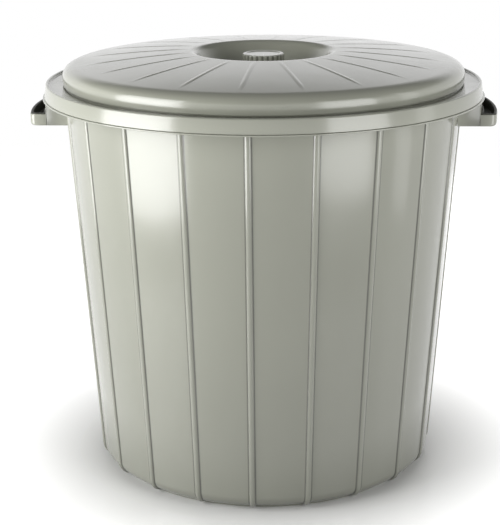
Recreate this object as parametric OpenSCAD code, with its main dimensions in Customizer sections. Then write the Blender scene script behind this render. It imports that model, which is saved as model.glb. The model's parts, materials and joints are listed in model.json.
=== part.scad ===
/* [Bin shell] */
// Height from the floor to the top face of the rim flange
shell_h = 369.7; // [300:0.1:420]
// Outer radius of the plain wall where it meets the rim flange
wall_top_r = 191.8; // [150:0.1:230]
// Outer radius that the wall would reach at floor level, which sets its taper
wall_foot_r = 167.5; // [140:0.1:185]
// Thickness of the wall and the bottom
wall_t = 2.4; // [2:0.1:3]
// Outer radius of the rounded corner between wall and bottom
corner_r = 14; // [10:0.5:20]
// Height of the standing ring under the bottom
foot_h = 2.5; // [2:0.1:4]
// Width of the standing ring
foot_w = 6; // [4:0.5:8]
// Radius of the small stiffening ring under the middle of the bottom
inner_foot_r = 60; // [40:1:90]

/* [Upright ribs] */
// Number of upright ribs round the wall
rib_n = 20; // [12:1:24]
// Height by which a rib stands out of the wall
rib_out = 1.9; // [1.2:0.1:2.4]
// Radius of the round bead that forms a rib
rib_bead_r = 4.2; // [3.6:0.1:5]
// Turn of the rib pattern against the two handles, in degrees
rib_turn = -2; // [-9:0.5:9]

/* [Rim flange] */
// Width by which the flange under the rim ring stands out from the wall
flange_w = 22; // [18:0.1:26]
// Thickness of the flange
flange_t = 1.4; // [1.2:0.1:3]
// Height of the collar that stands above the flange inside the rim ring
collar_h = 9.1; // [6:0.1:12]

/* [Handles] */
// Width of the finger space between the wall and a handle's divider
finger_w = 18.6; // [15:0.1:26]
// Width of the handle frame beyond the finger space
handle_w = 15.8; // [12:0.1:22]
// Half of the handle length along the rim
handle_half = 46.3; // [35:0.1:60]
// Height of the handle frame
handle_h = 11; // [9:0.1:16]
// Drop from the flange top to the top edge of the handle frame
handle_drop = 14.4; // [11:0.1:18]
// Thickness of the handle frame walls
handle_t = 1.4; // [1.2:0.1:3]
// Thickness of the handle floor under the grip cup
handle_floor = 1.6; // [1.2:0.1:2.2]
// Radius of the rounded lower edge of the handle frame
handle_round = 3; // [1:0.1:4]
// Radius of the rounded upright corners of the handle frame
handle_corner = 5; // [4:0.1:7]

/* [Grip cups] */
// Wall thickness of the dark cup that lines a handle
cup_t = 1.4; // [1:0.1:2]
// Clearance between a cup and its handle frame
cup_gap = 0.2; // [0.1:0.05:0.4]
// Height of the cup's rim, which lies on the top edge of the handle frame
cup_rim = 1; // [0.8:0.1:1.6]

/* [Rim ring] */
// Width from the wall's outside to the lower edge of the band
band_w = 20.4; // [16:0.1:24]
// Distance by which the band leans in towards its top edge
band_lean = 1.8; // [0.5:0.1:3]
// Thickness of the rim ring
ring_t = 2.2; // [1.8:0.1:2.6]
// Gap between the lower edge of the band and the flange
band_gap = 0.5; // [0.3:0.1:1.5]
// Height of the thin lip that stands up along the outer edge
lip_h = 2.1; // [2:0.1:4]
// Depth to which the inner skirt reaches below the ledge
skirt_h = 28; // [20:1:40]
// Clearance between the inner skirt and the bin wall
skirt_gap = 0.4; // [0.3:0.05:0.8]

/* [Lid] */
// Width by which the lid edge stands out past the wall's outside
lid_over = 2.4; // [2:0.1:8]
// Thickness of the lid
lid_t = 2.2; // [1.8:0.1:2.6]
// Height of the recess rim above the ledge that the lid rests on
lid_h = 29; // [27:0.1:36]
// Drop of the crown from the recess rim to the shoulder
crown_drop = 8.6; // [5:0.1:11]
// Width of the rounded shoulder, from the crown to the lid edge
shoulder_w = 23.2; // [16:0.1:30]
// Height of the widest point of the lid edge above the ledge
edge_h = 7.2; // [6:0.1:10]
// Distance by which the lid edge draws in below its widest point
edge_tuck = 1.6; // [0.8:0.1:2.4]
// Height of the shadow gap under the lid edge
lid_gap = 1.2; // [0.6:0.1:2]
// Depth of the locating wall below the ledge
plug_h = 14; // [8:0.5:20]
// Clearance between the locating wall and the inner skirt
plug_gap = 1.8; // [1:0.1:4]

/* [Lid ridges] */
// Number of fine radial ridges on the crown
ridge_n = 20; // [10:1:30]
// Width of a radial ridge
ridge_w = 4; // [2:0.1:6]
// Height of a radial ridge
ridge_out = 0.6; // [0.4:0.1:1.2]
// Turn of the ridges, and so of the loose lid, in degrees
lid_turn = -4.5; // [-9:0.5:9]

/* [Lid recess] */
// Radius of the recess at its rim
recess_r = 71; // [66:0.5:80]
// Radius of the rounded rim of the recess
recess_round = 8; // [5:0.1:9]
// Radius of the flat floor of the recess, up to its rounded corner
recess_floor_r = 50; // [40:0.5:52]
// Radius of the rounded corner between the recess floor and its wall
recess_corner = 6; // [4:0.5:8]
// Depth of the recess
recess_d = 25; // [20:0.5:26]

/* [Knob] */
// Outer radius of the knob
knob_r = 20.2; // [16:0.1:24]
// Distance from the level of the recess rim down to the knob top
knob_low = 3; // [1:0.1:5]
// Wall thickness of the hollow knob
knob_t = 2.2; // [1.8:0.1:3]
// Number of flutes round the knob
flute_n = 24; // [16:1:30]
// Radius of one flute
flute_r = 1.7; // [1.2:0.1:2]
// Depth of one flute
flute_in = 0.8; // [0.4:0.1:1.1]
// Outer radius of the boss that takes the screw
boss_r = 6; // [5:0.1:8]

/* [Knob screw] */
// Radius of the screw shank
screw_r = 2; // [1.5:0.1:2.5]
// Radius of the screw head
screw_head_r = 5; // [4:0.1:6]
// Height of the screw head
screw_head_h = 2.8; // [2:0.1:3.5]
// Length of the shank above the head
screw_l = 14; // [10:0.5:15]
// Width of one arm of the cross slot
slot_w = 1; // [0.6:0.1:1.4]
// Depth of the cross slot
slot_h = 1.4; // [0.8:0.1:1.6]

/* [Hidden] */
$fn = 48;

// Overrun of cuts and overlaps, width of small broken edges, and the fits of the screw
over = 1;
chip = 0.5;
screw_fit = 0.02;
screw_hole_gap = 0.2;

sage = "#a9aca3";
dark = "#1d1e1b";
steel = "#b8babd";

// Tilt of the wall, and its outer radius at height z
wall_a = atan((wall_top_r - wall_foot_r) / shell_h);
function wall_r(z) = wall_foot_r + (wall_top_r - wall_foot_r) * z / shell_h;

// Outer radii of the flange, the rim ring's band, the lid and its crown
flange_r = wall_top_r + flange_w;
band_r = wall_top_r + band_w;
band_top_r = band_r - band_lean;
lid_r = wall_top_r + lid_over;
shoulder_r = lid_r - shoulder_w;

// Outer radii of a handle's divider and of its frame
divider_r = wall_top_r + finger_w + handle_t;
handle_r = wall_top_r + finger_w + handle_w;
// Rounding of the frame's top edge, inside which the rim of the grip cup starts
frame_round = 0.6;

// Centre of the rounded bottom corner, and how far the standing ring lies outside it
corner_z = foot_h + corner_r;
corner_x = wall_r(corner_z) - corner_r / cos(wall_a);
foot_out = 2;
foot_draft = 0.3;

// Levels of the pieces that rest on one another
flange_under = shell_h - flange_t;
flange_mid = shell_h - flange_t / 2;
handle_top = shell_h - handle_drop;
handle_low = handle_top - handle_h;
cup_low = handle_low + handle_floor;
collar_top = shell_h + collar_h;
ledge_z = collar_top + ring_t;
edge_z = ledge_z + edge_h;
lid_top = ledge_z + lid_h;
shoulder_z = lid_top - crown_drop;
floor_z = lid_top - recess_d;
floor_under = floor_z - lid_t;
knob_top = lid_top - knob_low;

// Outer and inner face of the rim ring's skirt at height z
function skirt_r(z) = wall_r(z) - wall_t / cos(wall_a) - skirt_gap;
function skirt_in_r(z) = skirt_r(z) - ring_t;

// Points of an ellipse arc in the profile plane, from angle a0 to a1
function arc(cx, cz, rx, rz, a0, a1, n = 8) =
    [for (i = [0:n]) let (a = a0 + (a1 - a0) * i / n) [cx + rx * cos(a), cz + rz * sin(a)]];

// Crown of the lid: a shallow curve that steepens towards the shoulder, raised by up
crown_steps = 8;
function crown_point(s, up) =
    [recess_r + (shoulder_r - recess_r) * s, lid_top + up - crown_drop * (0.55 * s + 0.45 * s * s)];
function crown(up) = [for (i = [1:crown_steps - 1]) crown_point(i / crown_steps, up)];
function backwards(points) = [for (i = [len(points) - 1:-1:0]) points[i]];

module revolve(points) {
    rotate_extrude($fn = 180) polygon(points);
}

module around(n, turn = 0) {
    for (i = [0:n - 1]) rotate(turn + 360 * i / n) children();
}

// Ring of rectangular section between two radii and two heights
module ring_block(r0, r1, z0, z1) {
    revolve([[r0, z0], [r1, z0], [r1, z1], [r0, z1]]);
}

// Block over the length of one handle on the +X side
module handle_slab(half) {
    translate([handle_r / 2, -half, 0]) cube([handle_r, 2 * half, 2 * shell_h]);
}

// The same block with its upright corners rounded where they reach the outer radius r
module rounded_slab(half, r, corner) {
    clear = 0.05;
    y = half - corner;
    x = sqrt(pow(r + clear - corner, 2) - y * y);
    a = atan2(y, x);
    bend = arc(x, y, corner, corner, 90, a, 4);
    side = concat([[r / 2, half]], bend, [[(r + 2 * corner) * cos(a), (r + 2 * corner) * sin(a)]]);
    linear_extrude(2 * shell_h)
        polygon(concat(side, backwards([for (p = side) [p[0], -p[1]]])));
}

// Outside of the bin with its rounded corner, standing ring, flange and collar
module shell_body() {
    foot_r = corner_x + foot_out;
    revolve(concat(
        [[0, foot_h], [foot_r - foot_w - foot_draft, foot_h], [foot_r - foot_w, 0],
         [foot_r - foot_draft, 0], [foot_r, foot_h + foot_draft]],
        arc(corner_x, corner_z, corner_r, corner_r, -75, -wall_a, 7),
        [[wall_r(flange_under), flange_under]],
        arc(flange_r - flange_t / 2, flange_mid, flange_t / 2, flange_t / 2, -90, 90, 6),
        [[wall_r(shell_h) + over, shell_h], [wall_r(shell_h), shell_h + over],
         [wall_r(collar_top), collar_top], [0, collar_top]]));
    inner_foot();
}

// Small stiffening ring under the middle, a little higher than the standing ring
module inner_foot() {
    half = 2;
    lift = 0.6;
    revolve([[inner_foot_r - half, foot_h + over], [inner_foot_r - half + foot_draft, lift],
             [inner_foot_r + half - foot_draft, lift], [inner_foot_r + half, foot_h + over]]);
}

// Space inside the shell, one wall thickness away from its outside
module shell_space() {
    inner_corner = corner_r - wall_t;
    revolve(concat(
        [[0, foot_h + wall_t]],
        arc(corner_x, corner_z, inner_corner, inner_corner, -90, -wall_a, 8),
        [[wall_r(collar_top + over) - wall_t / cos(wall_a), collar_top + over], [0, collar_top + over]]));
}

// One upright rib: a bead that runs straight down the wall, then round the bottom corner
module wall_bead() {
    bend_r = corner_r - (rib_bead_r - rib_out);
    run = (flange_mid - corner_z) / cos(wall_a);
    rotate(-90) translate([corner_x, 0, corner_z]) {
        rotate([0, wall_a, 0]) translate([bend_r, 0, 0]) cylinder(r = rib_bead_r, h = run);
        rotate([-90, 0, 0]) rotate(wall_a)
            rotate_extrude(angle = 90 - wall_a) translate([bend_r, 0]) circle(rib_bead_r);
    }
}

// Handle frame on the +X side: a pocket for the grip cup, and a finger space open below
module handle_frame() {
    root_r = wall_top_r - 2 * wall_t;
    difference() {
        intersection() {
            union() {
                revolve(concat([[root_r, handle_low]],
                    arc(handle_r - handle_round, handle_low + handle_round, handle_round, handle_round,
                        -90, 0, 5),
                    arc(handle_r - frame_round, handle_top - frame_round, frame_round, frame_round,
                        0, 90, 3),
                    [[root_r, handle_top]]));
                ring_block(root_r, divider_r, handle_low + over, flange_mid);
            }
            rounded_slab(handle_half, handle_r, handle_corner);
        }
        intersection() {
            ring_block(root_r - over, divider_r - handle_t, handle_low - over, flange_under);
            handle_slab(handle_half - handle_t);
        }
        intersection() {
            ring_block(divider_r, handle_r - handle_t, cup_low, handle_top + over);
            rounded_slab(handle_half - handle_t, handle_r - handle_t, handle_corner - handle_t);
        }
    }
}

module bin() {
    color(sage) difference() {
        union() {
            shell_body();
            around(rib_n, rib_turn) wall_bead();
            handle_frame();
            rotate(180) handle_frame();
        }
        shell_space();
    }
}

// Dark lining of a handle frame: a shallow cup, open upwards, whose rim lies on the frame
module grip_cup() {
    r0 = divider_r + cup_gap;
    r1 = handle_r - handle_t - cup_gap;
    half = handle_half - handle_t - cup_gap;
    corner = handle_corner - handle_t - cup_gap;
    difference() {
        union() {
            intersection() {
                ring_block(r0, r1, cup_low, handle_top + chip);
                rounded_slab(half, r1, corner);
            }
            cup_edge(r0, handle_r - frame_round);
        }
        intersection() {
            ring_block(r0 + cup_t, r1 - cup_t, cup_low + cup_t, handle_top + cup_rim + over);
            rounded_slab(half - cup_t, r1 - cup_t, corner - cup_t);
        }
    }
}

// Flat rim of the cup between radii r0 and r1, before its mouth is cut
module cup_edge(r0, r1) {
    rim_top = handle_top + cup_rim;
    intersection() {
        revolve([[r0, handle_top], [r1, handle_top], [r1, rim_top - chip], [r1 - chip, rim_top],
                 [r0 + chip, rim_top], [r0, rim_top - chip]]);
        rounded_slab(handle_half - frame_round, r1, handle_corner - frame_round);
    }
}

module grip_right() {
    color(dark) grip_cup();
}

module grip_left() {
    color(dark) rotate(180) grip_cup();
}

// Loose ring over the rim: ledge, lip, flared outer band and the skirt that holds a bag
module rim_ring() {
    skirt_low = ledge_z - skirt_h;
    band_low = shell_h + band_gap;
    lip_r = 1.6;
    lip_in_r = 0.6;
    ledge_round = 1.3;
    lip_x = band_top_r - lip_r - lip_in_r;
    color(sage) revolve(concat(
        [[skirt_in_r(skirt_low) + chip, skirt_low], [skirt_r(skirt_low) - chip, skirt_low],
         [skirt_r(skirt_low + over), skirt_low + over], [skirt_r(collar_top), collar_top],
         [band_top_r - ring_t - over, collar_top], [band_top_r - ring_t, collar_top - over],
         [band_r - ring_t, band_low], [band_r - chip, band_low], [band_r, band_low + chip]],
        arc(band_top_r - lip_r, ledge_z + lip_h - lip_r, lip_r, lip_r, 8, 90, 5),
        arc(lip_x, ledge_z + lip_h - lip_in_r, lip_in_r, lip_in_r, 90, 180, 3),
        arc(lip_x - lip_in_r - ledge_round, ledge_z + ledge_round, ledge_round, ledge_round, 0, -90, 4),
        arc(skirt_in_r(ledge_z) + over, ledge_z - over, over, over, 90, 180, 3)));
}

// Lid: crown with a dished middle, rounded shoulder, seat rib and locating wall
module lid() {
    color(sage) difference() {
        union() {
            lid_shell();
            locating_wall();
            around(ridge_n, lid_turn) crown_ridge();
        }
        translate([0, 0, floor_under - over])
            cylinder(r = screw_r + screw_hole_gap, h = lid_t + 2 * over);
    }
}

// Lid profile: its underside from the middle out, the seat rib, then the top side back in
module lid_shell() {
    edge_low = ledge_z + lid_gap;
    seat_r = lid_r - edge_tuck - lid_t;
    rim_z = lid_top - recess_round;
    dish_z = floor_z + recess_corner;
    dish_under = recess_corner + lid_t;
    slant = [recess_r - recess_floor_r, rim_z - dish_z];
    dish_a = atan2(slant[0], slant[1]) - asin((recess_round + recess_corner) / norm(slant));
    revolve(concat(
        [[0, floor_under]],
        arc(recess_floor_r, dish_z, dish_under, dish_under, -90, -dish_a, 6),
        arc(recess_r, rim_z, recess_round - lid_t, recess_round - lid_t, 180 - dish_a, 90, 4),
        crown(-lid_t),
        arc(shoulder_r, edge_z, lid_r - lid_t - shoulder_r, shoulder_z - lid_t - edge_z, 90, 0, 7),
        [[seat_r, edge_low + over], [seat_r - lid_t, edge_low + over], [seat_r - lid_t, ledge_z],
         [seat_r, ledge_z], [seat_r, edge_low], [lid_r - edge_tuck, edge_low]],
        arc(shoulder_r, edge_z, lid_r - shoulder_r, shoulder_z - edge_z, 0, 90, 9),
        backwards(crown(0)),
        arc(recess_r, rim_z, recess_round, recess_round, 90, 180 - dish_a, 5),
        arc(recess_floor_r, dish_z, recess_corner, recess_corner, -dish_a, -90, 5),
        [[0, floor_z]]));
}

// Wall under the crown that centres the lid inside the rim ring
module locating_wall() {
    low = ledge_z - plug_h;
    roof = shoulder_z - lid_t + over;
    outer = skirt_in_r(low) - plug_gap;
    revolve([[outer - lid_t, roof], [outer - lid_t + chip, low], [outer - over, low],
             [outer, low + 2 * over], [outer, roof - 4 * over]]);
}

// One fine ridge along the crown that fades out at both ends
module crown_ridge() {
    far = crown_steps - 1;
    top = [for (i = [1:far]) crown_point(i / crown_steps, i == 1 || i == far ? -chip : ridge_out)];
    intersection() {
        revolve(concat(crown(-over), backwards(top)));
        translate([-ridge_w / 2, -shoulder_r, 0]) cube([ridge_w, shoulder_r, 2 * lid_top]);
    }
}

// Hollow knob, fluted like a bottle cap, with a boss for its screw
module knob() {
    knob_h = knob_top - floor_z;
    top_round = 1.2;
    color(sage) translate([0, 0, floor_z]) difference() {
        union() {
            difference() {
                revolve(concat([[0, 0], [knob_r, 0]],
                    arc(knob_r - top_round, knob_h - top_round, top_round, top_round, 0, 90, 4),
                    [[0, knob_h]]));
                around(flute_n) translate([knob_r + flute_r - flute_in, 0, -over])
                    cylinder(r = flute_r, h = knob_h - top_round - chip + over);
                translate([0, 0, -over])
                    cylinder(r = knob_r - flute_in - knob_t, h = knob_h - knob_t + over);
            }
            cylinder(r = boss_r, h = knob_h - knob_t / 2);
        }
        translate([0, 0, -over]) cylinder(r = screw_r, h = screw_l - lid_t + 2 * over);
    }
}

// Screw that comes up through the recess floor into the knob
module knob_screw() {
    head_round = 1.2;
    slot_l = screw_head_r - 2 * head_round;
    color(steel) translate([0, 0, floor_under]) {
        difference() {
            revolve(concat([[0, 0], [0, -screw_head_h]],
                arc(screw_head_r - head_round, head_round - screw_head_h, head_round, head_round, -90, 0, 4),
                [[screw_head_r, 0]]));
            around(4) translate([0, -slot_w / 2, -screw_head_h - over])
                cube([slot_l, slot_w, slot_h + over]);
        }
        translate([0, 0, -chip]) cylinder(r = screw_r - screw_fit, h = screw_l + chip);
    }
}

bin();
grip_left();
grip_right();
rim_ring();
lid();
knob();
knob_screw();
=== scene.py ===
"""Visual model of a round plastic waste bin: ribbed shell, rim ring, domed lid, knob, and near-black cups
that stand for the dark inside of the handles.

All profiles are in millimetres in the plane of radius and height, and are turned about the bin's
upright axis. The front of the bin faces -Y and the handles lie on +X and -X.
"""

from __future__ import annotations

import json
import logging
import math
from dataclasses import dataclass
from enum import Enum
from typing import Callable, Sequence

import bmesh
import bpy
from mathutils import Matrix, Vector

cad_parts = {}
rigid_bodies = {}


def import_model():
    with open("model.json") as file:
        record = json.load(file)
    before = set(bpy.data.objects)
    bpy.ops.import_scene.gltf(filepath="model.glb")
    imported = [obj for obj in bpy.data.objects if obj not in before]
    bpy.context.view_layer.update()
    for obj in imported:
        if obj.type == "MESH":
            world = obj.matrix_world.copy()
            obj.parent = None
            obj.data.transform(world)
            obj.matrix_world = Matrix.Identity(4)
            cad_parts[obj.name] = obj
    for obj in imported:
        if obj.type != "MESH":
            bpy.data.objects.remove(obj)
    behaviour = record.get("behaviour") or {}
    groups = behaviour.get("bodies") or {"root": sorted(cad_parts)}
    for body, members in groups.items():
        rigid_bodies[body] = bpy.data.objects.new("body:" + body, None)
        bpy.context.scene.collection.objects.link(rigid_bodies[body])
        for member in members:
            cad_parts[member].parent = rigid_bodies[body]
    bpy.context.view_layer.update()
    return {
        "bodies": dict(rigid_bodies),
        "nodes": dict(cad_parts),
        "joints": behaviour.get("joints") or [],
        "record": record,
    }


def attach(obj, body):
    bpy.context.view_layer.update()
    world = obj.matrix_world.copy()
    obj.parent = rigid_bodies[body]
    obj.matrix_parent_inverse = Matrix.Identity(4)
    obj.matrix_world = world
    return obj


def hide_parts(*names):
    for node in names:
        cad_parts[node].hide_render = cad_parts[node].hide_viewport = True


LOG = logging.getLogger("waste_bin")
MM = 0.001

UNIT = (0.0, 1.0)
NOISE_RANGE = (0.3, 0.7)  # stretch that a noise pattern mostly fills
RUB_ROUGHNESS = 0.18  # how much rougher a rubbed edge is
CREASE_SHARE = 0.9  # share of the shade in the deepest inner corner
CREASE_SHADE = 0.25  # brightness of that shade against the plain colour
SKIN_ROUGHNESS = 0.12

Point = tuple[float, float]
Corner = tuple[float, float, float]
Colour = tuple[float, float, float]
Relief = Callable[[float, float, float], "Shift"]


class Body(Enum):
    """Rigid bodies of the bin that pieces ride on."""

    BIN = "bin_body"
    RING = "rim_ring_body"
    LID = "lid_body"


@dataclass(frozen=True)
class Shift:
    """What a rib, ridge or flute does to one point of a turned surface.

    Attributes:
        out: shift away from the axis in millimetres.
        up: shift upwards in millimetres.
        wear: how far the point is rubbed, from 0 to 1.
        crease: how deep the point lies in a shaded inner corner, from 0 to 1.
    """

    out: float = 0.0
    up: float = 0.0
    wear: float = 0.0
    crease: float = 0.0


class Slot(Enum):
    """Material slots of the part's record."""

    SAGE = "sage_plastic"
    BLACK = "black_plastic"
    STEEL = "screw_steel"


class Side(Enum):
    """The two handle sides, as the sign of X."""

    LEFT = -1
    RIGHT = 1


# Profiles


def arc(centre: Point, radii: Point, start: float, end: float, steps: int,
        full: float = 2.0) -> list[Point]:
    """Gives the points of an elliptical arc, or of a fuller one.

    Args:
        centre: middle of the ellipse.
        radii: half axes along radius and height.
        start: first angle in degrees, counted from the outward direction.
        end: last angle in degrees.
        steps: number of stretches along the arc.
        full: exponent of the curve, 2 for an ellipse and more for squarer corners.

    Returns:
        The points from start to end, both included.
    """
    points = []
    for step in range(steps + 1):
        angle = math.radians(start + (end - start) * step / steps)
        out, up = (math.copysign(abs(way) ** (2 / full), way) for way in (math.cos(angle), math.sin(angle)))
        points.append((centre[0] + radii[0] * out, centre[1] + radii[1] * up))
    return points


def rounded(corners: Sequence[Corner], closed: bool = False, steps: int = 6) -> list[Point]:
    """Rounds the corners of an outline.

    Args:
        corners: radius, height and rounding radius of each corner.
        closed: whether the last corner joins the first.
        steps: number of stretches along each rounding.

    Returns:
        The points of the rounded outline.
    """
    points: list[Point] = []
    count = len(corners)
    for index, (r, z, size) in enumerate(corners):
        at_end = not closed and index in (0, count - 1)
        if size <= 0 or at_end:
            points.append((r, z))
            continue
        here = Vector((r, z))
        back = Vector(corners[index - 1][:2]) - here
        ahead = Vector(corners[(index + 1) % count][:2]) - here
        half = back.angle(ahead) / 2
        reach = min(size / math.tan(half), 0.49 * back.length, 0.49 * ahead.length)
        radius = reach * math.tan(half)
        middle = here + (back.normalized() + ahead.normalized()).normalized() * radius / math.sin(half)
        first = (here + back.normalized() * reach) - middle
        last = (here + ahead.normalized() * reach) - middle
        sweep = first.angle_signed(last)
        for step in range(steps + 1):
            spoke = first.copy()
            spoke.rotate(Matrix.Rotation(-sweep * step / steps, 2))
            points.append((middle.x + spoke.x, middle.y + spoke.y))
    return points


def subdivided(points: Sequence[Point], longest: float) -> list[Point]:
    """Splits the long stretches of an outline.

    Args:
        points: the outline.
        longest: greatest length of a stretch.

    Returns:
        The outline with points added on its long stretches.
    """
    result = [points[0]]
    for (r0, z0), (r1, z1) in zip(points, points[1:]):
        parts = max(1, math.ceil(math.hypot(r1 - r0, z1 - z0) / longest))
        result += [(r0 + (r1 - r0) * i / parts, z0 + (z1 - z0) * i / parts) for i in range(1, parts + 1)]
    return result


# Meshes


@dataclass(frozen=True)
class Columns:
    """Where the mesh columns stand round a turned piece that repeats a rib, ridge or flute.

    Attributes:
        count: number of ribs in a full turn.
        turn: turn of the first rib against the front, in degrees.
        offsets: distances of the columns from the middle of a rib, from 0 outwards.
        plain: number of columns on the plain stretch between two ribs.
        least_radius: radius below which a rib's columns draw together.
    """

    count: int
    turn: float
    offsets: tuple[float, ...]
    plain: int
    least_radius: float = 20.0

    @property
    def per_rib(self) -> int:
        """Number of columns from one rib's middle to the next."""
        return 2 * len(self.offsets) - 1 + self.plain

    @property
    def total(self) -> int:
        """Number of columns in a full turn."""
        return self.count * self.per_rib

    def place(self, index: int, radius: float) -> tuple[float, float]:
        """Finds where a column stands at one radius.

        Args:
            index: number of the column.
            radius: distance from the axis in millimetres.

        Returns:
            The column's azimuth in radians, and its distance from its rib's middle in millimetres.
        """
        rib, column = divmod(index % self.total, self.per_rib)
        pitch = 2 * math.pi / self.count
        widest = self.offsets[-1]
        reach = widest / max(radius, self.least_radius)
        side = len(self.offsets) - 1
        if column <= side:
            distance = self.offsets[column]
            angle = reach * distance / widest
        elif column >= self.per_rib - side:
            distance = -self.offsets[self.per_rib - column]
            angle = pitch + reach * distance / widest
        else:
            share = (column - side) / (self.plain + 1)
            angle = reach + (pitch - 2 * reach) * share
            distance = 2 * widest
        front = -math.pi / 2 + math.radians(self.turn)
        return front + rib * pitch + angle, distance


def turned(points: Sequence[Point], steps: int, closed: bool = False) -> bmesh.types.BMesh:
    """Turns an outline about the upright axis.

    Args:
        points: the outline in millimetres.
        steps: number of columns in the full turn.
        closed: whether the last point joins the first.

    Returns:
        A closed mesh in metres, with its normals outward.
    """
    bm = bmesh.new()
    verts = [bm.verts.new((r * MM, 0.0, z * MM)) for r, z in points]
    edges = [bm.edges.new(pair) for pair in zip(verts, verts[1:])]
    if closed:
        edges.append(bm.edges.new((verts[-1], verts[0])))
    bmesh.ops.spin(bm, geom=verts + edges, cent=(0, 0, 0), axis=(0, 0, 1), dvec=(0, 0, 0),
                   angle=2 * math.pi, steps=steps, use_merge=True, use_duplicate=False)
    bmesh.ops.remove_doubles(bm, verts=bm.verts[:], dist=1e-6)
    bmesh.ops.recalc_face_normals(bm, faces=bm.faces[:])
    return bm


def shape_columns(bm: bmesh.types.BMesh, columns: Columns, relief: Relief) -> None:
    """Moves a turned mesh's columns to their ribs, and raises the surface there.

    Args:
        bm: the turned mesh, with columns.total columns.
        columns: where the columns stand.
        relief: gives the shift of a point at a radius, a height and a distance from the middle of
            its rib, all in millimetres.
    """
    wear = bm.verts.layers.float.new("wear")
    crease = bm.verts.layers.float.new("crease")
    step = 2 * math.pi / columns.total
    for vert in bm.verts:
        radius = math.hypot(vert.co.x, vert.co.y) / MM
        height = vert.co.z / MM
        index = round(math.atan2(vert.co.y, vert.co.x) / step)
        azimuth, distance = columns.place(index, radius)
        shift = relief(radius, height, distance)
        vert[wear], vert[crease] = shift.wear, shift.crease
        radius = (radius + shift.out) * MM if radius > 0.001 else 0.0
        vert.co = (radius * math.cos(azimuth), radius * math.sin(azimuth), (height + shift.up) * MM)


@dataclass(frozen=True)
class Plan:
    """Outline seen from above of a curved trough on the +X side, with two straight ends.

    Attributes:
        inner: radius of its inner side about the bin's axis.
        outer: radius of its outer side.
        half: half of its length along Y.
        corner: rounding of its two outer corners.
        inner_corner: rounding of its two inner corners.
    """

    inner: float
    outer: float
    half: float
    corner: float
    inner_corner: float = 1.4

    def drawn_in(self, by: float, outer: float = 0.0) -> Plan:
        """Draws the outline in.

        Args:
            by: distance all round.
            outer: further distance on the outer side.

        Returns:
            The smaller outline.
        """
        return Plan(self.inner + by, self.outer - by - outer, self.half - by, max(self.corner - by, 0.3),
                    max(self.inner_corner - by, 0.3))

    def widened(self, by: float) -> Plan:
        """Gives the outline widened at its ends and its outer side."""
        return Plan(self.inner, self.outer + by, self.half + by, self.corner + by, self.inner_corner)

    def points(self) -> list[Point]:
        """Gives the points of the outline along X and Y."""
        run, steps = self.half - 10, 12
        ways = [run * (2 * i / steps - 1) for i in range(steps + 1)]
        corners: list[Corner] = []
        sides = ((self.inner, self.inner_corner, ways), (self.outer, self.corner, ways[::-1]))
        for radius, size, order in sides:
            first, last = math.copysign(self.half, order[0]), math.copysign(self.half, order[-1])
            corners.append((math.sqrt(radius ** 2 - self.half ** 2), first, size))
            corners += [(math.sqrt(radius ** 2 - y ** 2), y, 0.0) for y in order]
            corners.append((math.sqrt(radius ** 2 - self.half ** 2), last, size))
        return rounded(corners, closed=True, steps=6)


def quarter(radius: float, steps: int = 4) -> list[Point]:
    """Gives the course of a rounded edge from its flat side to its upright side.

    Args:
        radius: radius of the rounding.
        steps: number of stretches along it.

    Returns:
        How far each point is drawn in, and how far it has risen.
    """
    angles = [math.pi / 2 * i / steps for i in range(steps + 1)]
    return [(radius * (1 - math.sin(a)), radius * (1 - math.cos(a))) for a in angles]


def stacked(levels: Sequence[tuple[Plan, float]]) -> bmesh.types.BMesh:
    """Extrudes an outline through a series of outlines and heights, and closes its two ends.

    Args:
        levels: the outlines and their heights in millimetres.

    Returns:
        A closed mesh in metres.
    """
    outlines = [[Vector((x, y, height)) * MM for x, y in plan.points()] for plan, height in levels]
    bm = bmesh.new()
    verts = [bm.verts.new(point) for point in outlines[0]]
    loops = [[bm.edges.new(pair) for pair in zip(verts, verts[1:] + verts[:1])]]
    for last, points in zip(outlines, outlines[1:]):
        raised = bmesh.ops.extrude_edge_only(bm, edges=loops[-1])["geom"]
        ahead = {point.to_tuple(8): goal for point, goal in zip(last, points)}
        for vert in [item for item in raised if isinstance(item, bmesh.types.BMVert)]:
            vert.co = ahead[vert.co.to_tuple(8)]
        loops.append([item for item in raised if isinstance(item, bmesh.types.BMEdge)])
    for end in (loops[0], loops[-1]):
        bmesh.ops.holes_fill(bm, edges=end, sides=0)
    bm.normal_update()
    bmesh.ops.recalc_face_normals(bm, faces=bm.faces[:])
    return bm


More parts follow.
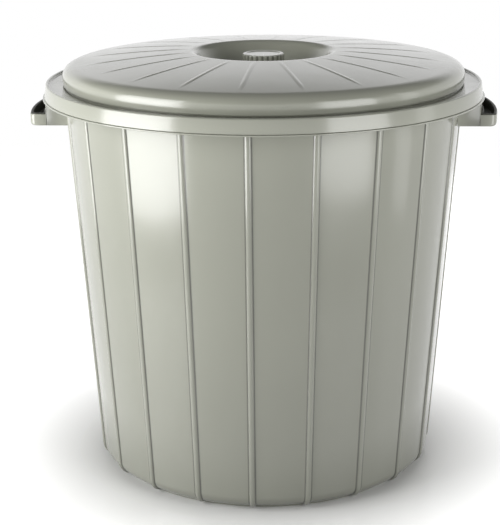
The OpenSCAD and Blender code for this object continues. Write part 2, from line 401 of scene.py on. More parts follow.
@dataclass(frozen=True)
class Trough:
    """A curved trough on the +X side with an open top.

    Attributes:
        plan: its outline seen from above.
        low: height of its underside.
        top: height of its top edge.
        wall: thickness of its walls.
        floor: thickness of its floor.
        lower_round: rounding of its lower outer edge.
        rim_out: width of a rim that stands out round the top edge.
        rim: height of that rim.
        edge: rounding of its small edges.
        flat: width of the ring that borders its flat underside and floor.
    """

    plan: Plan
    low: float
    top: float
    wall: float
    floor: float
    lower_round: float
    rim_out: float = 0.0
    rim: float = 0.0
    edge: float = 0.4
    flat: float = 0.6

    def lower_levels(self) -> list[tuple[Plan, float]]:
        """Gives the outlines of the underside and its rounded edges, upwards."""
        levels = [(self.plan.drawn_in(self.edge + self.flat, self.lower_round), self.low)]
        for inset, rise in quarter(self.lower_round, 8):
            left = self.edge - min(rise, self.edge)
            small = self.edge - math.sqrt(self.edge ** 2 - left ** 2)
            levels.append((self.plan.drawn_in(small, max(0.0, inset - small)), self.low + rise))
        return levels

    def mesh(self) -> bmesh.types.BMesh:
        """Models the trough from its underside, over its top edge, to its floor.

        Returns:
            A closed mesh in metres.
        """
        levels = self.lower_levels()
        outside = self.plan
        if self.rim > 0:
            outside = self.plan.widened(self.rim_out)
            levels += [(self.plan, self.top), (outside, self.top)]
        mouth = self.plan.drawn_in(self.wall)
        top = self.top + self.rim
        floor = self.low + self.floor
        edge, fillet = quarter(self.edge), quarter(2 * self.edge)
        levels += [(outside.drawn_in(inset), top - rise) for inset, rise in reversed(edge)]
        levels += [(mouth.drawn_in(-inset), top - rise) for inset, rise in edge]
        levels += [(mouth.drawn_in(inset), floor + rise) for inset, rise in reversed(fillet)]
        levels.append((mouth.drawn_in(2 * self.edge + self.flat), floor))
        return stacked(levels)


def box(low: Sequence[float], high: Sequence[float]) -> bmesh.types.BMesh:
    """Models a block between two corners.

    Args:
        low: lowest corner in millimetres.
        high: highest corner in millimetres.

    Returns:
        A closed mesh in metres.
    """
    bm = bmesh.new()
    size = [(b - a) * MM for a, b in zip(low, high)]
    middle = [(a + b) / 2 * MM for a, b in zip(low, high)]
    place = Matrix.Translation(middle) @ Matrix.Diagonal((*size, 1))
    bmesh.ops.create_cube(bm, size=1.0, matrix=place)
    return bm


def bevel_edges(bm: bmesh.types.BMesh, width: float, segments: int,
                wanted: Callable[[bmesh.types.BMEdge], bool]) -> None:
    """Rounds chosen sharp edges of a mesh.

    Args:
        bm: the mesh.
        width: width of the rounding in millimetres.
        segments: number of faces across the rounding.
        wanted: tells whether an edge is rounded.
    """
    sharp = [edge for edge in bm.edges
             if edge.is_manifold and edge.calc_face_angle(0.0) > math.radians(40) and wanted(edge)]
    bmesh.ops.bevel(bm, geom=sharp, offset=width * MM, offset_type="OFFSET", segments=segments,
                    profile=0.5, affect="EDGES", clamp_overlap=True, material=-1)


def put_on_side(bm: bmesh.types.BMesh, side: Side) -> None:
    """Turns a mesh modelled on the +X side round to the left side, if that is its side."""
    if side is Side.LEFT:
        bmesh.ops.rotate(bm, verts=bm.verts[:], cent=(0, 0, 0), matrix=Matrix.Rotation(math.pi, 3, "Z"))


def joined(meshes: Sequence[bmesh.types.BMesh]) -> bmesh.types.BMesh:
    """Puts several meshes into one, and frees them.

    Args:
        meshes: the meshes, in metres.

    Returns:
        One mesh that holds them all.
    """
    whole = bmesh.new()
    for part in meshes:
        holder = bpy.data.meshes.new("holder")
        part.to_mesh(holder)
        whole.from_mesh(holder)
        part.free()
        bpy.data.meshes.remove(holder)
    return whole


def place_piece(name: str, bm: bmesh.types.BMesh, material: bpy.types.Material, body: Body,
                nodes: Sequence[str], crease: float = 35.0) -> bpy.types.Object:
    """Makes an object of a finished mesh and lets it ride on its body.

    Args:
        name: name of the piece.
        bm: its mesh in metres, which is freed.
        material: its finish.
        body: the rigid body that carries it.
        nodes: the solids that it stands for.
        crease: angle in degrees above which an edge stays sharp.

    Returns:
        The new object.
    """
    mesh = bpy.data.meshes.new(name)
    bm.to_mesh(mesh)
    bm.free()
    mesh.materials.append(material)
    mesh.shade_smooth()
    mesh.set_sharp_from_angle(angle=math.radians(crease))
    piece = bpy.data.objects.new(name, mesh)
    bpy.context.scene.collection.objects.link(piece)
    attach(piece, body.value)
    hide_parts(*nodes)
    LOG.info("%s: %d faces on %s", name, len(mesh.polygons), body.value)
    return piece


# Finishes


class NodeTree:
    """Short way to add and join the shader nodes of one material, or of the world."""

    def __init__(self, owner: bpy.types.Material | bpy.types.World) -> None:
        """Clears the owner's nodes."""
        owner.use_nodes = True
        self.tree = owner.node_tree
        self.tree.nodes.clear()

    def add(self, kind: str, settings: dict[str, object] | None = None,
            inputs: dict[str | int, object] | None = None) -> bpy.types.Node:
        """Adds a node.

        Args:
            kind: Blender's type name of the node.
            settings: properties of the node.
            inputs: values of its sockets, or the output sockets to join to them.

        Returns:
            The new node.
        """
        node = self.tree.nodes.new(kind)
        for key, value in (settings or {}).items():
            setattr(node, key, value)
        for key, value in (inputs or {}).items():
            if isinstance(value, bpy.types.NodeSocket):
                self.tree.links.new(value, node.inputs[key])
            else:
                node.inputs[key].default_value = value
        return node

    def noise(self, where: bpy.types.NodeSocket, scale: float, detail: float = 2.0) -> bpy.types.NodeSocket:
        """Adds a noise pattern.

        Args:
            where: coordinates in metres.
            scale: number of features in a metre.
            detail: number of finer layers.

        Returns:
            The pattern's value, about 0.5 on average.
        """
        node = self.add("ShaderNodeTexNoise", {}, {"Vector": where, "Scale": scale, "Detail": detail})
        return node.outputs["Fac"]

    def spread(self, value: bpy.types.NodeSocket, source: Point, target: Point) -> bpy.types.NodeSocket:
        """Maps a value from one range to another, and holds it there.

        Args:
            value: the value.
            source: range that is read.
            target: range that is given.

        Returns:
            The mapped value.
        """
        node = self.add("ShaderNodeMapRange", {"clamp": True}, {
            "Value": value, "From Min": source[0], "From Max": source[1],
            "To Min": target[0], "To Max": target[1]})
        return node.outputs["Result"]

    def mixed(self, share: bpy.types.NodeSocket, first: object, second: object) -> bpy.types.NodeSocket:
        """Mixes two colours.

        Args:
            share: share of the second colour.
            first: colour or socket at share 0.
            second: colour or socket at share 1.

        Returns:
            The mixed colour.
        """
        node = self.add("ShaderNodeMix", {"data_type": "RGBA"})
        self.tree.links.new(share, node.inputs["Factor"])
        for name, value in (("A", first), ("B", second)):
            socket = [item for item in node.inputs if item.name == name and item.type == "RGBA"][0]
            if isinstance(value, bpy.types.NodeSocket):
                self.tree.links.new(value, socket)
            else:
                socket.default_value = value
        return [item for item in node.outputs if item.type == "RGBA"][0]


@dataclass(frozen=True)
class MouldedPlastic:
    """Injection-moulded plastic with flow drift, fine grain, gentle waviness, worn edges and painted shade in
    inner corners.

    Attributes:
        name: name of the material.
        colour: plain colour.
        worn: colour of rubbed edges.
        roughness: roughness of the plain surface.
        sheen_band: how far the roughness drifts along the flow lines.
        drift: share by which the colour drifts over a hand's breadth.
        grain: strength of the fine grain.
        waviness: strength of the gentle unevenness of a thin wall.
        skin: share of a second, glossier skin over the plain surface.
    """

    name: str
    colour: Colour
    worn: Colour
    roughness: float
    sheen_band: float = 0.03
    drift: float = 0.025
    grain: float = 0.05
    waviness: float = 0.04
    skin: float = 0.0

    def shade(self, factor: float) -> tuple[float, float, float, float]:
        """Gives the plain colour made lighter or darker by a factor."""
        red, green, blue = (min(1.0, channel * factor) for channel in self.colour)
        return red, green, blue, 1.0

    def material(self) -> bpy.types.Material:
        """Builds the material.

        Returns:
            The new material.
        """
        material = bpy.data.materials.new(self.name)
        nodes = NodeTree(material)
        place = nodes.add("ShaderNodeTexCoord").outputs["Object"]
        worn = nodes.add("ShaderNodeAttribute", {"attribute_name": "wear"}).outputs["Fac"]

        broad = nodes.spread(nodes.noise(place, 9.0, 3.0), NOISE_RANGE, UNIT)
        tone = nodes.mixed(broad, self.shade(1 - self.drift), self.shade(1 + self.drift))
        rub = nodes.noise(place, 700.0, 3.0)
        edge = nodes.add("ShaderNodeMath", {"operation": "MULTIPLY"}, {
            0: worn, 1: nodes.spread(rub, NOISE_RANGE, (0.6, 1.0))}).outputs[0]
        rubbed = nodes.mixed(edge, tone, (*self.worn, 1.0))
        # Painted shade: the crease attribute darkens the colour in inner corners, where shade falls.
        inner = nodes.add("ShaderNodeAttribute", {"attribute_name": "crease"}).outputs["Fac"]
        shaded = nodes.spread(inner, UNIT, (0.0, CREASE_SHARE))
        colour = nodes.mixed(shaded, rubbed, self.shade(CREASE_SHADE))

        flow_place = nodes.add("ShaderNodeMapping", {}, {"Vector": place, "Scale": (1.0, 1.0, 0.08)})
        flow = nodes.spread(nodes.noise(flow_place.outputs["Vector"], 30.0, 1.0), NOISE_RANGE,
                            (self.roughness - self.sheen_band, self.roughness + self.sheen_band))
        rough = nodes.add("ShaderNodeMath", {"operation": "MULTIPLY_ADD", "use_clamp": True}, {
            0: edge, 1: RUB_ROUGHNESS, 2: flow}).outputs[0]

        wave = nodes.add("ShaderNodeBump", {}, {
            "Strength": self.waviness, "Distance": 0.002, "Height": nodes.noise(place, 16.0, 1.0)})
        grain = nodes.add("ShaderNodeBump", {}, {
            "Strength": self.grain, "Distance": 0.0004, "Height": nodes.noise(place, 1500.0, 2.0),
            "Normal": wave.outputs["Normal"]})

        shader = nodes.add("ShaderNodeBsdfPrincipled", {}, {
            "Base Color": colour, "Roughness": rough, "Normal": grain.outputs["Normal"], "IOR": 1.5,
            "Coat Weight": self.skin, "Coat Roughness": SKIN_ROUGHNESS})
        nodes.add("ShaderNodeOutputMaterial", {}, {"Surface": shader.outputs["BSDF"]})
        return material


@dataclass(frozen=True)
class PlatedSteel:
    """Zinc-plated steel with fine brushed streaks.

    Attributes:
        name: name of the material.
        colour: plain colour.
        roughness: roughness of the plain surface.
    """

    name: str
    colour: Colour
    roughness: float

    def material(self) -> bpy.types.Material:
        """Builds the material.

        Returns:
            The new material.
        """
        material = bpy.data.materials.new(self.name)
        nodes = NodeTree(material)
        place = nodes.add("ShaderNodeTexCoord").outputs["Object"]
        streaks = nodes.noise(place, 2600.0, 3.0)
        rough = nodes.spread(streaks, NOISE_RANGE, (self.roughness - 0.08, self.roughness + 0.1))
        light = tuple(min(1.0, channel * 1.15) for channel in self.colour)
        colour = nodes.mixed(nodes.noise(place, 700.0), (*self.colour, 1.0), (*light, 1.0))
        bump = nodes.add("ShaderNodeBump", {}, {"Strength": 0.12, "Distance": 0.0002, "Height": streaks})
        shader = nodes.add("ShaderNodeBsdfPrincipled", {}, {
            "Base Color": colour, "Roughness": rough, "Metallic": 1.0, "Normal": bump.outputs["Normal"]})
        nodes.add("ShaderNodeOutputMaterial", {}, {"Surface": shader.outputs["BSDF"]})
        return material


@dataclass
class Finishes:
    """The finishes of all pieces, each built once."""

    def __post_init__(self) -> None:
        """Builds the materials."""
        self.sage = MouldedPlastic("SagePlastic", (0.34, 0.347, 0.29), (0.44, 0.45, 0.39), 0.18,
                                   skin=0.6).material()
        # Near-black finish of the cups that stand for the dark inside of each handle.
        self.black = MouldedPlastic("DarkHandleFill", (0.035, 0.036, 0.027), (0.07, 0.07, 0.06), 0.5,
                                    grain=0.12).material()
        self.steel = PlatedSteel("PlatedSteel", (0.56, 0.57, 0.58), 0.34).material()


# Sub-assemblies


@dataclass
class BinShell:
    """The ribbed bin moulding with its standing ring, flange, collar and two handle frames.

    Attributes are sizes in millimetres: heights from the floor, and radii from the upright axis.
    """

    shell_height: float = 369.7
    wall_top: float = 191.8
    wall_foot: float = 167.5
    wall: float = 2.4
    corner: float = 14.0
    foot_height: float = 2.5
    foot_width: float = 6.0
    inner_foot: float = 60.0
    flange_radius: float = 213.8
    flange: float = 1.4
    collar: float = 9.1
    rib_count: int = 20
    rib_turn: float = -2.0
    rib_out: float = 1.8
    bead: float = 3.5
    crease_reach: float = 1.0
    foot_wear: float = 0.9
    flange_wear: float = 0.3

    @property
    def rib_foot(self) -> float:
        """Distance from a rib's middle to where its bead meets the wall."""
        return math.sqrt(self.bead ** 2 - (self.bead - self.rib_out) ** 2)

    @property
    def tilt(self) -> float:
        """Tilt of the wall from upright, in radians."""
        return math.atan((self.wall_top - self.wall_foot) / self.shell_height)

    @property
    def corner_middle(self) -> Point:
        """Centre of the rounded corner between wall and bottom."""
        height = self.foot_height + self.corner
        return self.wall_radius(height) - self.corner / math.cos(self.tilt), height

    def wall_radius(self, height: float) -> float:
        """Gives the outer radius of the plain wall at a height."""
        return self.wall_foot + (self.wall_top - self.wall_foot) * height / self.shell_height

    def outline(self) -> list[Point]:
        """Gives the outline from the middle of the underside, over the rim, to the middle inside."""
        middle = self.corner_middle
        foot = middle[0] + 2.0
        small = self.inner_foot
        lean = math.degrees(self.tilt)
        flange_under = self.shell_height - self.flange
        top = self.shell_height + self.collar
        inner_top = self.wall_radius(top) - self.wall / math.cos(self.tilt)
        under = rounded([
            (0, self.foot_height, 0), (small - 2, self.foot_height, 0.5), (small - 1.7, 0.6, 0.4),
            (small + 1.7, 0.6, 0.4), (small + 2, self.foot_height, 0.5),
            (foot - self.foot_width - 0.3, self.foot_height, 0.6), (foot - self.foot_width, 0, 0.5),
            (foot - 0.3, 0, 0.7), (foot, self.foot_height + 0.3, 0)], steps=4)
        bend = arc(middle, (self.corner, self.corner), -74, -lean, 16)
        rim = rounded([
            (*bend[-1], 0), (self.wall_radius(flange_under), flange_under, 0.9),
            (self.flange_radius, flange_under, 0.66), (self.flange_radius, self.shell_height, 0.4),
            (self.wall_radius(self.shell_height), self.shell_height, 0.8),
            (self.wall_radius(top), top, 0.6), (inner_top, top, 0.6),
            (inner_top - 1, top - 15, 0)], steps=5)
        inner_corner = self.corner - self.wall
        inside = arc(middle, (inner_corner, inner_corner), -lean, -90, 12)
        points = under + bend + rim[1:-1] + inside + [(0, self.foot_height + self.wall)]
        return subdivided(points, 24.0)

    def rib_direction(self, radius: float, height: float) -> tuple[float, float, float]:
        """Finds how a rib rises from a point of the outline.

        Args:
            radius: radius of the point.
            height: height of the point.

        Returns:
            The outward and upward shares of the rise, and its strength from 0 to 1.
        """
        middle = self.corner_middle
        if height >= middle[1]:
            beyond = radius - self.wall_radius(height)
            inside = beyond < -0.5 * self.wall
            strength = 0.0 if inside or height > self.shell_height - 0.5 * self.flange else \
                max(0.0, 1 - max(0.0, beyond) / 2.6)
            return math.cos(self.tilt), -math.sin(self.tilt), strength
        spoke = Vector((radius - middle[0], height - middle[1]))
        if spoke.length < self.corner - 0.5 * self.wall or radius < middle[0] + 2.1:
            return 0.0, 0.0, 0.0
        spoke.normalize()
        return spoke.x, spoke.y, 1.0

    def relief(self, radius: float, height: float, distance: float) -> Shift:
        """Gives the shift of a point of the shell beside a rib's middle.

        Args:
            radius: radius of the point.
            height: height of the point.
            distance: distance from the rib's middle.

        Returns:
            The shift of the point.
        """
        reach = min(abs(distance), self.bead)
        lift = max(0.0, math.sqrt(self.bead ** 2 - reach ** 2) - (self.bead - self.rib_out))
        out, up, strength = self.rib_direction(radius, height)
        wear = 0.2 * strength * max(0.0, lift / self.rib_out - 0.4)
        if height < 0.6:
            wear = self.foot_wear
        elif radius > self.flange_radius - 0.6:
            wear = self.flange_wear
        # Painted shade along the foot of each rib, where the bead meets the wall.
        crease = strength * max(0.0, 1 - abs(abs(distance) - self.rib_foot) / self.crease_reach)
        return Shift(out * lift * strength, up * lift * strength, wear, crease)

    def build(self, finishes: Finishes) -> None:
        """Models and dresses the shell and both handle frames."""
        offsets = (0.0, 0.8, 1.5, 2.1, 2.6, 2.9, 3.1, 3.5, 4.2)
        columns = Columns(self.rib_count, self.rib_turn, offsets, plain=5)
        shell = turned(self.outline(), columns.total)
        shape_columns(shell, columns, self.relief)
        place_piece("bin_shell", shell, finishes.sage, Body.BIN, ["bin"])
        for side in Side:
            frame = HandleFrame().mesh()
            put_on_side(frame, side)
            name = f"handle_frame_{side.name.lower()}"
            place_piece(name, frame, finishes.sage, Body.BIN, ["bin"])


@dataclass
class HandleFrame:
    """One handle frame on the +X side: the trough of the dark cup, its divider and two end plates."""

    outer: float = 226.2
    half: float = 46.3
    top: float = 355.3
    depth: float = 11.0
    wall: float = 1.4
    divider: float = 211.8
    floor: float = 1.6
    corner: float = 5.0
    lower_round: float = 3.0
    flange_under: float = 368.3
    root: float = 185.0
    sunk: float = 0.5
    divider_sunk: float = 4.0
    shade: float = 0.9
    shade_reach: float = 1.8

    @property
    def seam(self) -> float:
        """Place along X of the groove between the trough and an end plate."""
        return math.sqrt((self.divider - self.wall) ** 2 - self.half ** 2) + 0.5

    def plates(self) -> list[bmesh.types.BMesh]:
        """Models the two upright plates between the trough's ends and the bin's wall."""
        low = self.top - self.depth
        plates = []
        for sign in (-1, 1):
            near, far = sorted((sign * self.half, sign * (self.half - self.wall)))
            plate = box((self.root, near, low), (self.seam + 0.2, far, self.flange_under + self.sunk))
            bevel_edges(plate, 0.5, 3, lambda edge: max(vert.co.z for vert in edge.verts) < (low + 1) * MM
                        or min(vert.co.x for vert in edge.verts) > self.seam * MM)
            plates.append(plate)
        return plates

    def mesh(self) -> bmesh.types.BMesh:
        """Models the whole frame.

        Returns:
            Its closed bodies in one mesh, in metres.
        """
        inner = self.divider - self.wall
        body = Trough(Plan(inner, self.outer, self.half, self.corner), self.top - self.depth, self.top,
                      self.wall, self.floor, self.lower_round).mesh()
        fit = 0.03
        upright = Plan(inner + fit, self.divider - fit, self.half - fit, 0.5, 0.5)
        divider = stacked([(upright, self.top - self.divider_sunk), (upright, self.flange_under + self.sunk)])
        whole = joined([body, divider, *self.plates()])
        # Painted shade in the groove between the trough and each end plate.
        crease = whole.verts.layers.float.new("crease")
        for vert in whole.verts:
            away = Vector((vert.co.x / MM - self.seam, abs(vert.co.y) / MM - self.half))
            vert[crease] = self.shade * max(0.0, 1 - away.length / self.shade_reach)
        return whole


@dataclass
class DarkHandleCup:
    """The near-black cup that stands for the dark inside of a handle frame, open upwards, with a rim that
    lies on the frame.
    """

    inner: float = 212.0
    outer: float = 224.6
    low: float = 345.9
    top: float = 355.3
    half: float = 44.7
    wall: float = 1.4
    corner: float = 3.4
    rim_out: float = 1.0
    rim: float = 1.0

    def build(self, side: Side, finishes: Finishes) -> None:
        """Models and dresses the cup of one side.

        Args:
            side: the handle side.
            finishes: the finishes of the bin.
        """
        plan = Plan(self.inner, self.outer, self.half, self.corner)
        bm = Trough(plan, self.low, self.top, self.wall, self.wall, 0.8, self.rim_out, self.rim).mesh()
        put_on_side(bm, side)
        name = f"grip_{side.name.lower()}"
        place_piece(f"{name}_cup", bm, finishes.black, Body.BIN, [name])


@dataclass
class RimRing:
    """The loose ring over the rim: ledge, lip, flared outer band and the skirt that holds a bag."""

    ledge: float = 381.0
    thickness: float = 2.2
    lip: float = 2.1
    lip_inner: float = 207.6
    band_top: float = 210.4
    band_foot: float = 212.2
    band_low: float = 369.85
    skirt_low: float = 353.0
    skirt_gap: float = 0.4
    columns: int = 288
    edge_wear: float = 0.3

    def skirt_radius(self, height: float) -> float:
        """Gives the outer radius of the skirt, which stands inside the bin's wall, at a height."""
        shell = BinShell()
        return shell.wall_radius(height) - shell.wall / math.cos(shell.tilt) - self.skirt_gap

    def outline(self) -> list[Point]:
        """Gives the closed outline of the ring's section."""
        under = self.ledge - self.thickness
        top = self.ledge + self.lip
        corners = [
            (self.skirt_radius(self.skirt_low) - self.thickness, self.skirt_low, 0.8),
            (self.skirt_radius(self.skirt_low), self.skirt_low, 0.8),
            (self.skirt_radius(under), under, 0.4),
            (self.band_top - self.thickness, under, 1.2),
            (self.band_foot - self.thickness, self.band_low, 0.6),
            (self.band_foot, self.band_low, 0.4),
            (self.band_top, top, 1.5),
            (self.lip_inner, top, 0.6),
            (self.lip_inner, self.ledge, 1.2),
            (self.skirt_radius(self.ledge) - self.thickness, self.ledge, 1.0)]
        return rounded(corners, closed=True, steps=6)

    def build(self, finishes: Finishes) -> None:
        """Models and dresses the ring."""
        bm = turned(self.outline(), self.columns, closed=True)
        wear = bm.verts.layers.float.new("wear")
        for vert in bm.verts:
            on_lip = vert.co.z > (self.ledge + self.lip - 0.5) * MM
            on_band_edge = vert.co.z < (self.band_low + 0.5) * MM and vert.co.to_2d().length > 0.211
            vert[wear] = self.edge_wear if on_lip or on_band_edge else 0.0
        place_piece("rim_ring_moulding", bm, finishes.sage, Body.RING, ["rim_ring"])


@dataclass
class Lid:
    """The domed lid with its dished middle, rounded shoulder, seat rib and locating wall."""

    top: float = 410.0
    ledge: float = 381.0
    thickness: float = 2.2
    radius: float = 194.2
    crown_drop: float = 8.6
    shoulder: float = 171.0
    shoulder_rise: float = 12.4
    shoulder_full: float = 2.7
    shoulder_turn: float = 72.0
    edge_height: float = 388.2
    tuck: float = 0.3
    gap: float = 1.2
    plug_radius: float = 184.8
    plug_depth: float = 14.0
    plug_drop_inside: float = 12.2
    plug_drop_outside: float = 12.8
    recess: float = 71.0
    recess_round: float = 8.0
    floor_radius: float = 50.0
    floor_corner: float = 6.0
    recess_depth: float = 25.0
    hole: float = 2.2
    ridge_count: int = 20
    ridge_turn: float = -4.5
    ridge_out: float = 0.4
    ridge_half: float = 2.4

    @property
    def dish_lean(self) -> float:
        """Lean of the straight wall between the recess's two roundings, in degrees from upright."""
        across = self.recess - self.floor_radius
        up = self.recess_depth - self.recess_round - self.floor_corner
        return math.degrees(math.atan2(across, up) - math.asin(
            (self.recess_round + self.floor_corner) / math.hypot(across, up)))

    def crown(self, radius: float) -> float:
        """Gives the height of the crown's top side at a radius."""
        share = (radius - self.recess) / (self.shoulder - self.recess)
        return self.top - self.crown_drop * (0.55 * share + 0.45 * share * share)

    def top_side(self) -> list[Point]:
        """Gives the outline of the top side, from the lid's edge in to the screw hole."""
        rim = self.top - self.recess_round
        floor = self.top - self.recess_depth
        edge = (self.shoulder, self.edge_height)
        points = arc(edge, (self.radius - self.shoulder, self.shoulder_rise), 0, self.shoulder_turn, 22,
                     self.shoulder_full)
        steps = 14
        first = points[-1][0] - 1.5
        for step in range(steps):
            radius = first + (self.recess + 3.0 - first) * step / (steps - 1)
            points.append((radius, self.crown(radius)))
        upper, lower = self.recess_round, self.floor_corner
        points += arc((self.recess, rim), (upper, upper), 90, 180 - self.dish_lean, 12)
        points += arc((self.floor_radius, floor + lower), (lower, lower), -self.dish_lean, -90, 9)
        return points + [(self.hole, floor)]

    def underside(self) -> list[Point]:
        """Gives the outline of the underside, from the screw hole out to the lid's edge."""
        wall = self.thickness
        rim = self.top - self.recess_round
        floor = self.top - self.recess_depth
        dish = self.floor_corner + wall
        seat = self.radius - self.tuck - wall
        plug = self.plug_radius
        plug_low = self.ledge - self.plug_depth
        edge_low = self.ledge + self.gap
        points = [(self.hole, floor - wall)]
        points += arc((self.floor_radius, floor + self.floor_corner), (dish, dish),
                      -90, -self.dish_lean, 9)
        bend = self.recess_round - wall
        points += arc((self.recess, rim), (bend, bend), 180 - self.dish_lean, 90, 8)
        steps = 8
        first, last = self.recess + 12, self.shoulder - 4
        for step in range(steps):
            radius = first + (last - first) * step / (steps - 1)
            points.append((radius, self.crown(radius) - wall))
        points += rounded([
            (self.shoulder, self.crown(self.shoulder) - wall, 0),
            (plug - wall, self.top - self.plug_drop_inside, 1.0), (plug - wall, plug_low, 0.6),
            (plug, plug_low, 1.0), (plug, self.top - self.plug_drop_outside, 0.8),
            (self.radius - wall - 2.6, self.edge_height + 3.5, 2.0),
            (self.radius - wall, self.edge_height, 1.0),
            (seat, edge_low + 1, 0.3), (seat - wall, edge_low + 1, 0.2), (seat - wall, self.ledge, 0.3),
            (seat, self.ledge, 0.3), (seat, edge_low, 0.2), (self.radius - self.tuck, edge_low, 0.7),
            (self.radius, self.edge_height, 0)], steps=4)[:-1]
        return points

    def relief(self, radius: float, height: float, distance: float) -> Shift:
        """Gives the shift of a point of the lid beside a ridge's middle.

        Args:
            radius: radius of the point.
            height: height of the point.
            distance: distance from the ridge's middle.

        Returns:
            The shift of the point.
        """
        wear = 0.25 if radius > self.radius - 0.3 else 0.0
        on_crown = self.recess + 2 < radius < self.shoulder and height > self.crown(radius) - 0.5
        if not on_crown or abs(distance) > self.ridge_half + 0.7:
            return Shift(wear=wear)
        fade = min(1.0, (radius - self.recess - 2) / 14, (self.shoulder - radius) / 14)
        # Painted shade in thin lines beside each ridge.
        crease = 0.22 * fade * max(0.0, 1 - abs(abs(distance) - self.ridge_half) / 0.7)
        swell = 0.5 + 0.5 * math.cos(math.pi * min(1.0, abs(distance) / self.ridge_half))
        return Shift(up=self.ridge_out * fade * swell ** 0.6, wear=wear, crease=crease)

    def build(self, finishes: Finishes) -> None:
        """Models and dresses the lid."""
        columns = Columns(self.ridge_count, self.ridge_turn, (0.0, 0.8, 1.4, 1.9, 2.4, 3.0), plain=5)
        bm = turned(self.underside() + self.top_side(), columns.total, closed=True)
        shape_columns(bm, columns, self.relief)
        place_piece("lid_moulding", bm, finishes.sage, Body.LID, ["lid"], crease=50.0)


@dataclass
class Knob:
    """The fluted hollow knob in the lid's dished middle, and the screw that holds it."""

    radius: float = 20.2
    top: float = 407.0
    floor: float = 385.0
    wall: float = 2.2
    boss: float = 6.0
    bore: float = 2.0
    bore_depth: float = 12.8
    dish: float = 0.7
    flutes: int = 24
    flute: float = 1.7
    flute_in: float = 0.8

    def outline(self) -> list[Point]:
        """Gives the closed outline of the knob's section, from its bore out and over the top."""
        inner = self.radius - self.flute_in - self.wall
        roof = self.top - self.wall
        corners = [
            (0, self.floor + self.bore_depth, 0), (self.bore, self.floor + self.bore_depth, 0.2),
            (self.bore, self.floor, 0.3), (self.boss, self.floor, 0.4), (self.boss, roof, 0.8),
            (inner, roof, 0.8), (inner, self.floor, 0.3), (self.radius, self.floor, 0.4),
            (self.radius, self.top, 1.3), (self.radius - 3.2, self.top, 0.9),
            (self.radius - 4.6, self.top - self.dish, 1.2), (0, self.top - self.dish, 0)]
        return subdivided(rounded(corners, steps=5), 5.0)

    def relief(self, radius: float, height: float, distance: float) -> Shift:
        """Gives the shift of a point of the knob beside a flute's middle.

        Args:
            radius: radius of the point.
            height: height of the point.
            distance: distance from the flute's middle.

        Returns:
            The shift of the point.
        """
        reach = min(abs(distance), self.flute)
        depth = max(0.0, math.sqrt(self.flute ** 2 - reach ** 2) - (self.flute - self.flute_in))
        strength = max(0.0, 1 - (self.radius - radius) / 0.9) if radius > self.radius - 0.9 else 0.0
        wear = 0.35 if radius > self.radius - 1.4 and height > self.top - 1.4 else 0.0
        # Painted shade in the hollow of each flute.
        return Shift(out=-depth * strength, wear=wear, crease=0.8 * strength * depth / self.flute_in)

    def build(self, frame: dict[str, object], finishes: Finishes) -> None:
        """Models and dresses the knob, and dresses its screw.

        Args:
            frame: the loaded frame.
            finishes: the finishes of the bin.
        """
        columns = Columns(self.flutes, 0.0, (0.0, 0.5, 0.9, 1.2, 1.42, 1.6), plain=1, least_radius=18.0)
        bm = turned(self.outline(), columns.total)
        shape_columns(bm, columns, self.relief)
        place_piece("knob_moulding", bm, finishes.sage, Body.LID, ["knob"])
        screw = frame["nodes"]["knob_screw"]
        for slot in screw.material_slots:
            slot.material = finishes.steel
        LOG.info("knob_screw: plated steel on %s", Body.LID.value)


# Studio


@dataclass(frozen=True)
class Softbox:
    """One soft rectangular lamp that stands round the bin.

    Attributes:
        name: name of the lamp.
        azimuth: its turn about the bin to the right of the front, in degrees.
        distance: level distance from the bin's axis, in metres.
        height: height of its middle, in metres.
        aim: height on the bin's axis that it faces, in metres.
        size: its width and height in metres.
        power: its power in watts.
        spread: angle in degrees that its grid lets the light out at.
        mirrored: whether the bin's gloss reflects it.
    """

    name: str
    azimuth: float
    distance: float
    height: float
    aim: float
    size: Point
    power: float
    spread: float = 180.0
    mirrored: bool = True

    def hang(self) -> None:
        """Hangs the lamp."""
        data = bpy.data.lights.new(self.name, "AREA")
        data.shape = "RECTANGLE"
        data.size, data.size_y = self.size
        data.energy = self.power
        data.spread = math.radians(self.spread)
        lamp = bpy.data.objects.new(self.name, data)
        lamp.visible_camera = False
        lamp.visible_glossy = self.mirrored
        bpy.context.scene.collection.objects.link(lamp)
        turn = math.radians(self.azimuth)
        lamp.location = (self.distance * math.sin(turn), -self.distance * math.cos(turn), self.height)
        ahead = Vector((0.0, 0.0, self.aim)) - lamp.location
        lamp.rotation_euler = ahead.to_track_quat("-Z", "Y").to_euler()


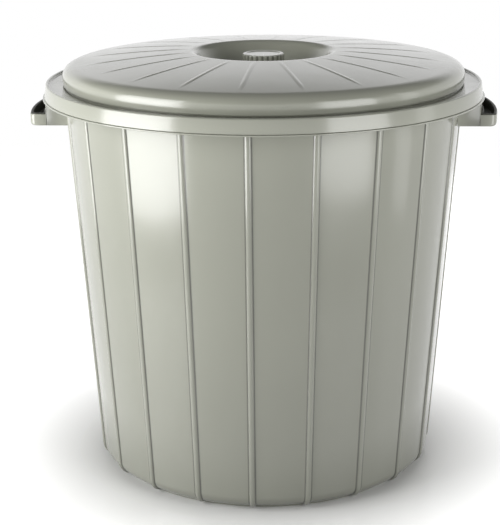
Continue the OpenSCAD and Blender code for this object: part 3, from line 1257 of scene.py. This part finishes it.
@dataclass
class Studio:
    """Pale floor, soft lamps and the camera of the photograph.

    Attributes:
        azimuth: camera's turn about the bin to the right of the front, in degrees.
        distance: level distance from the bin's axis to the camera, in metres.
        height: height of the camera above the floor, in metres.
        pitch: downward tilt of the camera, in degrees.
        yaw: turn of the camera away from the axis, in degrees.
        roll: roll of the camera, in degrees.
        focal: focal length in pixels of the 500 pixel wide picture.
        picture_width: width of the picture in pixels.
        sensor: width of the camera's sensor in millimetres.
        ambient: brightness of the studio round the bin.
        fade: distances from the axis between which the floor fades out, in metres.
        shadow: distances between which the shadow round the foot is lifted, in metres.
        shadow_lift: glow of the floor beyond that shadow.
        horizon: heights of a reflected ray between which the white background ends.
        lamps: the soft lamps.
    """

    azimuth: float = 2.07
    distance: float = 1.368
    height: float = 0.610
    pitch: float = 16.89
    yaw: float = -0.60
    roll: float = -0.40
    focal: float = 1410.4
    picture_width: float = 500.0
    sensor: float = 36.0
    ambient: float = 0.135
    fade: Point = (0.6, 1.6)
    shadow: Point = (0.165, 0.27)
    shadow_lift: float = 0.65
    horizon: Point = (0.32, 0.52)
    lamps: tuple[Softbox, ...] = (
        Softbox("key_left", -57.0, 0.8, 0.45, 0.52, (0.54, 0.81), 4.4, 120.0),
        Softbox("front_right", 44.0, 0.8, 0.46, 0.56, (0.41, 0.76), 1.9, 130.0),
        Softbox("side_right", 80.0, 0.8, 0.49, 0.55, (0.15, 0.86), 0.42),
        Softbox("back_fill", 165.0, 1.2, 0.4, 0.2, (1.0, 0.7), 6.0, mirrored=False))

    def camera(self) -> None:
        """Sets up the camera."""
        data = bpy.data.cameras.new("camera")
        data.sensor_fit = "HORIZONTAL"
        data.sensor_width = self.sensor
        data.lens = self.focal * self.sensor / self.picture_width
        camera = bpy.data.objects.new("camera", data)
        bpy.context.scene.collection.objects.link(camera)
        yaw, pitch, roll = (math.radians(value) for value in (self.yaw, self.pitch, self.roll))
        ahead = Vector((math.sin(yaw) * math.cos(pitch), math.cos(yaw) * math.cos(pitch), -math.sin(pitch)))
        right = ahead.cross(Vector((0, 0, 1))).normalized()
        up = right.cross(ahead)
        rolled_right = right * math.cos(roll) + up * math.sin(roll)
        rolled_up = up * math.cos(roll) - right * math.sin(roll)
        pose = Matrix((rolled_right, rolled_up, -ahead)).transposed().to_4x4()
        pose.translation = Vector((0, -self.distance, self.height))
        camera.matrix_world = Matrix.Rotation(math.radians(self.azimuth), 4, "Z") @ pose
        bpy.context.scene.camera = camera

    def floor(self) -> None:
        """Lays a pale floor that fades into the white background."""
        bm = bmesh.new()
        bmesh.ops.create_circle(bm, cap_ends=True, segments=96, radius=4.0)
        mesh = bpy.data.meshes.new("floor")
        bm.to_mesh(mesh)
        bm.free()
        floor = bpy.data.objects.new("floor", mesh)
        bpy.context.scene.collection.objects.link(floor)
        material = bpy.data.materials.new("PaleFloor")
        nodes = NodeTree(material)
        place = nodes.add("ShaderNodeTexCoord").outputs["Object"]
        distance = nodes.add("ShaderNodeVectorMath", {"operation": "LENGTH"}, {0: place}).outputs["Value"]
        fade = nodes.spread(distance, self.fade, UNIT)
        lift = nodes.spread(distance, self.shadow, (0.0, self.shadow_lift))
        path = nodes.add("ShaderNodeLightPath").outputs
        seen = path["Is Camera Ray"]
        for kind in ("Is Glossy Ray", "Is Transmission Ray"):
            seen = nodes.add("ShaderNodeMath", {"operation": "ADD", "use_clamp": True}, {
                0: seen, 1: path[kind]}).outputs[0]
        colour = nodes.mixed(seen, (0.3, 0.3, 0.295, 1.0), (0.93, 0.93, 0.92, 1.0))
        floor_shader = nodes.add("ShaderNodeBsdfPrincipled", {}, {
            "Base Color": colour, "Roughness": 0.16, "IOR": 1.4, "Emission Color": (1.0, 1.0, 1.0, 1.0),
            "Emission Strength": nodes.add("ShaderNodeMath", {"operation": "MULTIPLY"}, {
                0: seen, 1: lift}).outputs[0]})
        clear = nodes.add("ShaderNodeBsdfTransparent")
        mix = nodes.add("ShaderNodeMixShader", {}, {
            0: fade, 1: floor_shader.outputs["BSDF"], 2: clear.outputs["BSDF"]})
        nodes.add("ShaderNodeOutputMaterial", {}, {"Surface": mix.outputs["Shader"]})
        mesh.materials.append(material)

    def world(self) -> None:
        """Sets a white background, which gloss reflects near the horizon, in a dimmer studio."""
        world = bpy.data.worlds.new("studio")
        bpy.context.scene.world = world
        nodes = NodeTree(world)
        path = nodes.add("ShaderNodeLightPath").outputs
        seen = nodes.add("ShaderNodeMath", {"operation": "ADD", "use_clamp": True}, {
            0: path["Is Camera Ray"], 1: path["Is Transmission Ray"]}).outputs[0]
        way = nodes.add("ShaderNodeTexCoord").outputs["Generated"]
        height = nodes.add("ShaderNodeSeparateXYZ", {}, {0: way}).outputs["Z"]
        low = nodes.spread(height, self.horizon, (1.0, 0.0))
        gloss = nodes.add("ShaderNodeMath", {"operation": "MULTIPLY"}, {
            0: path["Is Glossy Ray"], 1: low}).outputs[0]
        white = nodes.add("ShaderNodeMath", {"operation": "ADD", "use_clamp": True}, {
            0: seen, 1: gloss}).outputs[0]
        background = nodes.add("ShaderNodeBackground", {}, {
            "Color": (1.0, 1.0, 1.0, 1.0), "Strength": nodes.spread(white, UNIT, (self.ambient, 1.0))})
        nodes.add("ShaderNodeOutputWorld", {}, {"Surface": background.outputs["Background"]})

    def build(self) -> None:
        """Sets up the whole studio."""
        self.camera()
        self.floor()
        self.world()
        for lamp in self.lamps:
            lamp.hang()
        bpy.context.scene.view_settings.view_transform = "Standard"


def main() -> None:
    """Builds the studio and every sub-assembly in order."""
    logging.basicConfig(level=logging.INFO, format="%(name)s: %(message)s")
    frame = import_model()
    Studio().build()
    finishes = Finishes()
    BinShell().build(finishes)
    for side in Side:
        DarkHandleCup().build(side, finishes)
    RimRing().build(finishes)
    Lid().build(finishes)
    Knob().build(frame, finishes)


if __name__ == "__main__":
    main()
